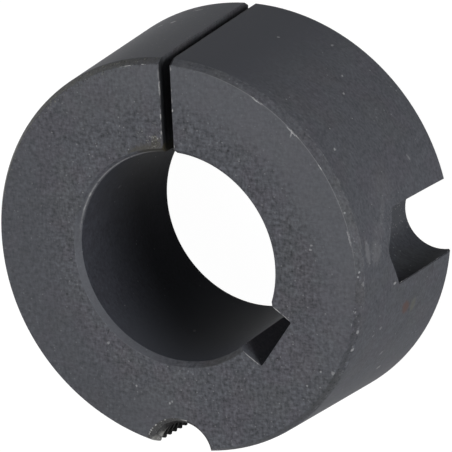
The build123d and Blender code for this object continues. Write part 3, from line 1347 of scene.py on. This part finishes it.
# painted light: paler where the chamfer looks to the front
stain(lead_in, "Height", [(214, 25, 58, 4, 0, 0.70)], (0.128, 0.133, 0.150), rough=0.2)
stain(lead_in, "Height", [
    (97, 25, 12, 2, 0, 0.9),
    (-64, 25, 18, 2, 0, 0.35),
], (0.062, 0.060, 0.052), rough=0.4)
lay(lead_in, line_on(lead_in, "ridge", 0.75, marks(lead_in, "Height", [
    (132, 24.7, 42, 2, 0, 0.8),
], rough=0.2)), (0.30, 0.30, 0.31))
lay(lead_in, line_on(lead_in, "edge", 0.35, marks(lead_in, "Height", [
    (190, 25.4, 120, 2, 0, 0.4),
], rough=0.2)), PALE)
wear(lead_in, line_on(lead_in, "ridge", 0.35, marks(lead_in, "Height", [
    (138, 24.7, 30, 2, 0, 0.5),
])))
close_finish(lead_in, 0.55, 0.02)

# %% [markdown]
# ## The cuts and the holes
# The slot was sawn and the keyway broached before the bush was coated. Both leave straight
# scratches: the saw's run in and out, the broach's run along the bore. The drill's rings stay in
# the pockets, and the lower wall of the one at +X is chipped. The saw left a burr on the face
# beside the slot, with a painted white highlight on it: a long piece at -X, short bits at +X. Oil
# stays where the slot meets the bore, and the slot's wall is painted darkest just below the small
# end, as painted shade in the narrow cut.

# %% The slot's finish
slot_side = start_finish("sawn_slot", (0.080, 0.083, 0.091), 0.02, 0.14, 0.05, 0.03)
# painted shade: the wall near black towards the small end, as shade in the narrow cut
lay(slot_side, above(slot_side, "Height", 23.6, 24.8), (0.026, 0.027, 0.030))
rule(slot_side, "Height", pitch=0.35, strength=0.10)
# painted highlight on the saw's burr at the small end
lay(slot_side, at_small_end(slot_side, marks(slot_side, "Out", SLOT_BURR_HIGHLIGHTS, rough=0.7)), BRIGHT)
at_top = above(slot_side, "Height", 25.1, 25.33)
lay(slot_side, line_on(slot_side, "edge", 0.55, at_top), (0.10, 0.10, 0.11))
stain(slot_side, "Out", [(93, 14.8, 9, 0.9, 0, 0.8)], (0.050, 0.045, 0.031))
close_finish(slot_side, 0.65, 0.02)

# %% The keyway's finish
key_side = start_finish("broached_keyway", (0.090, 0.094, 0.108), 0.03, 0.12, 0.04, 0.12)
rule(key_side, "Angle", pitch=0.5, strength=0.08)
lay(key_side, line_on(key_side, "edge", 0.45), (0.11, 0.11, 0.12))
# painted highlights along the keyway's edges
lay(key_side, at_small_end(key_side, marks(key_side, "Out", KEY_EDGE_HIGHLIGHTS, rough=0.7)), BRIGHT)
close_finish(key_side, 0.55, 0.01)

# %% The pockets' finish
pocket_wall = start_finish("drilled_pocket", (0.041, 0.0435, 0.0505), 0.02, 0.16, 0.05, 0.10)
rule(pocket_wall, "Height", pitch=0.4, strength=0.05)
chipped = marks(pocket_wall, "Height", [(5.5, 3.5, 8.5, 6.5, 0, 1.0)], rough=0.3)
lay(pocket_wall, chipped, (0.067, 0.0705, 0.079))
sprinkle(pocket_wall, chipped, 0.36, 0.14, 0.40, PALE)
sprinkle(pocket_wall, chipped, 0.33, 0.14, 0.45, (0.040, 0.041, 0.046))
lay(pocket_wall, line_on(pocket_wall, "edge", 0.5), (0.12, 0.12, 0.13))
wear(pocket_wall, line_on(pocket_wall, "edge", 0.25, 0.6))
close_finish(pocket_wall, 0.60, 0.015)

# %% [markdown]
# The tapped hole's thread holds black oil. Its countersink at the small end is grey with dust, and
# where the thread starts below it a screw has scraped the iron, with a painted highlight on the
# scrape.

# %% The thread's finish
thread_wall = start_finish("tapped_thread", (0.032, 0.032, 0.033), 0.03, 0.20, 0.06, 0.05)
in_sink = marks(thread_wall, "Height", [
    (-101.8, 24.3, 4.9, 2.1, 0, 1.0),
    (-97.0, 25.3, 5.2, 1.5, 0, 1.0),
    (-92.0, 25.5, 4.5, 0.8, 0, 1.0),
], rough=0.4)
lay(thread_wall, in_sink, (0.088, 0.088, 0.090))
sprinkle(thread_wall, in_sink, 0.32, 0.15, 0.55, (0.180, 0.180, 0.175))
sprinkle(thread_wall, in_sink, 0.30, 0.14, 0.40, (0.022, 0.022, 0.020))
# scraped iron with a painted highlight on it
scrape_highlight = marks(thread_wall, "Height", [
    (25.95, 23.30, 1.25, 0.75, 0, 1.0),
    (24.95, 23.20, 0.80, 0.50, 0, 0.7),
    (26.50, 24.40, 0.60, 0.90, 0, 0.5),
], across="Out", rough=0.5)
lay(thread_wall, scrape_highlight, (0.380, 0.378, 0.362))
sprinkle(thread_wall, scrape_highlight, 0.30, 0.14, 0.55, BRIGHT)
# painted glints on the burr at the hole's mouth
lay(thread_wall, at_small_end(thread_wall, marks(thread_wall, "Out", BURR_GLINTS, rough=0.7)), BRIGHT)
close_finish(thread_wall, 0.55, 0.02)

# %% [markdown]
# ## The floor
# The bush stands on a wide white sheet. The sheet shows white to the camera, and in shiny and
# clear things, by a glow that casts no light. Under the glow it is a dark grey that takes the
# bush's shadow and throws hardly any light back up into the holes.

# %% The sheet that the bush stands on
floor_mesh = bpy.data.meshes.new("floor")
half = 3.0
floor_mesh.from_pydata(
    [(-half, -half, 0), (half, -half, 0), (half, half, 0), (-half, half, 0)], [], [(0, 1, 2, 3)]
)
floor = bpy.data.objects.new("floor", floor_mesh)
bpy.context.scene.collection.objects.link(floor)
sheet = bpy.data.materials.new("white_sheet")
sheet.use_nodes = True
tree = sheet.node_tree
tree.nodes.clear()
path = node(tree, "LightPath", {}).outputs
seen = calc(tree, "MAXIMUM", path["Is Camera Ray"],
            calc(tree, "MAXIMUM", path["Is Glossy Ray"], path["Is Transmission Ray"]))
WHITE = (0.985, 0.985, 0.985)  # what the camera sees
UNDER_GLOW = (0.1, 0.1, 0.1)  # what the light meets
glow = node(tree, "Emission", {"Color": WHITE, "Strength": seen}).outputs[0]
grey = node(tree, "BsdfDiffuse", {"Color": UNDER_GLOW}).outputs[0]
both = node(tree, "AddShader", {0: grey, 1: glow}).outputs[0]
node(tree, "OutputMaterial", {"Surface": both})
floor_mesh.materials.append(sheet)
print("floor", 2 * half, "m wide")

# %% [markdown]
# ## Light
# Three wide soft lamps shine from behind and from the left. They make the upper wall of the bore
# light and leave its depth dark. A low, very soft one from the front right brings out the cone
# towards its near edge. The room is a light tent that gives an even grey from all round, but for a
# dark gap at the front, where the tent is open. Nothing on the bush has a hard shadow.

# %% The room and its dark gap
ROOM = 0.36
GAP_DEPTH = 0.92  # how much of the room's light is missing in the middle of the gap
GAP_TOWARDS = (0.452, 0.302, 0.839)  # azimuth 34, elevation 57
world = bpy.data.worlds.new("room")
bpy.context.scene.world = world
world.use_nodes = True
tree = world.node_tree
way = node(tree, "TexCoord", {}).outputs["Generated"]
towards_gap = node(tree, "VectorMath", {0: way, 1: GAP_TOWARDS}, operation="DOT_PRODUCT")
in_gap = eased(tree, towards_gap.outputs["Value"], 0.35, 0.90)
tent = tree.nodes["Background"].inputs
fill(tree, tent["Strength"], calc(tree, "MULTIPLY_ADD", in_gap, -ROOM * GAP_DEPTH, ROOM))
tent["Color"].default_value = (1, 1, 1, 1)
print("room", ROOM, "and in its gap", round(ROOM * (1 - GAP_DEPTH), 3))

# %% The soft lamps


def soft_lamp(name, azimuth, elevation, strength, width):
    """A distant lamp as wide as an angle in degrees, shining from an azimuth and an elevation:
    its Z axis is (cos el cos az, cos el sin az, sin el)."""
    az, el = math.radians(azimuth), math.radians(elevation)
    towards = np.array([math.cos(el) * math.cos(az), math.cos(el) * math.sin(az), math.sin(el)])
    side = np.array([-math.sin(az), math.cos(az), 0])
    placed = np.eye(4)
    placed[:3, 0], placed[:3, 1], placed[:3, 2] = side, np.cross(towards, side), towards
    placed[:3, 3] = towards
    data = bpy.data.lights.new(name, "SUN")
    data.energy = strength
    data.angle = math.radians(width)
    lamp = bpy.data.objects.new(name, data)
    lamp.matrix_world = Matrix(placed.tolist())
    bpy.context.scene.collection.objects.link(lamp)
    print(name, "at azimuth", azimuth, "elevation", elevation, "strength", strength)


soft_lamp("back_high", 205, 56, 0.97, 40)
soft_lamp("back_low", 175, 28, 0.85, 35)
soft_lamp("left_low", 140, 30, 0.20, 35)
soft_lamp("front_low", 10, 14, 2.45, 36)

# %% [markdown]
# ## Camera
# The camera looks down on the small end from the front right, with a long lens, and is rolled so
# that the slot lies to the upper left. Its axes are built from the direction to it.

# %% The camera
camera_azimuth = math.radians(33.783)
camera_elevation = math.radians(57.057)
camera_roll = math.radians(121.996)
camera_distance = 437.22 * MM
camera_aim = np.array([0.738, 0.610, 12.083]) * MM
to_camera = np.array([
    math.cos(camera_elevation) * math.cos(camera_azimuth),
    math.cos(camera_elevation) * math.sin(camera_azimuth),
    math.sin(camera_elevation),
])
level_up = np.array([0, 0, 1]) - to_camera[2] * to_camera
level_up /= np.linalg.norm(level_up)
level_right = np.cross(-to_camera, level_up)
up = math.cos(camera_roll) * level_up + math.sin(camera_roll) * level_right
stand = np.eye(4)
stand[:3, 0], stand[:3, 1], stand[:3, 2] = np.cross(-to_camera, up), up, to_camera
stand[:3, 3] = camera_aim + camera_distance * to_camera
camera_data = bpy.data.cameras.new("camera")
camera_data.lens = 261.108
camera_data.sensor_width = 36
camera = bpy.data.objects.new("camera", camera_data)
camera.matrix_world = Matrix(stand.tolist())
bpy.context.scene.collection.objects.link(camera)
bpy.context.scene.camera = camera
bpy.context.scene.view_settings.view_transform = "Standard"
print("camera at", np.round(stand[:3, 3] / MM, 1), "mm")
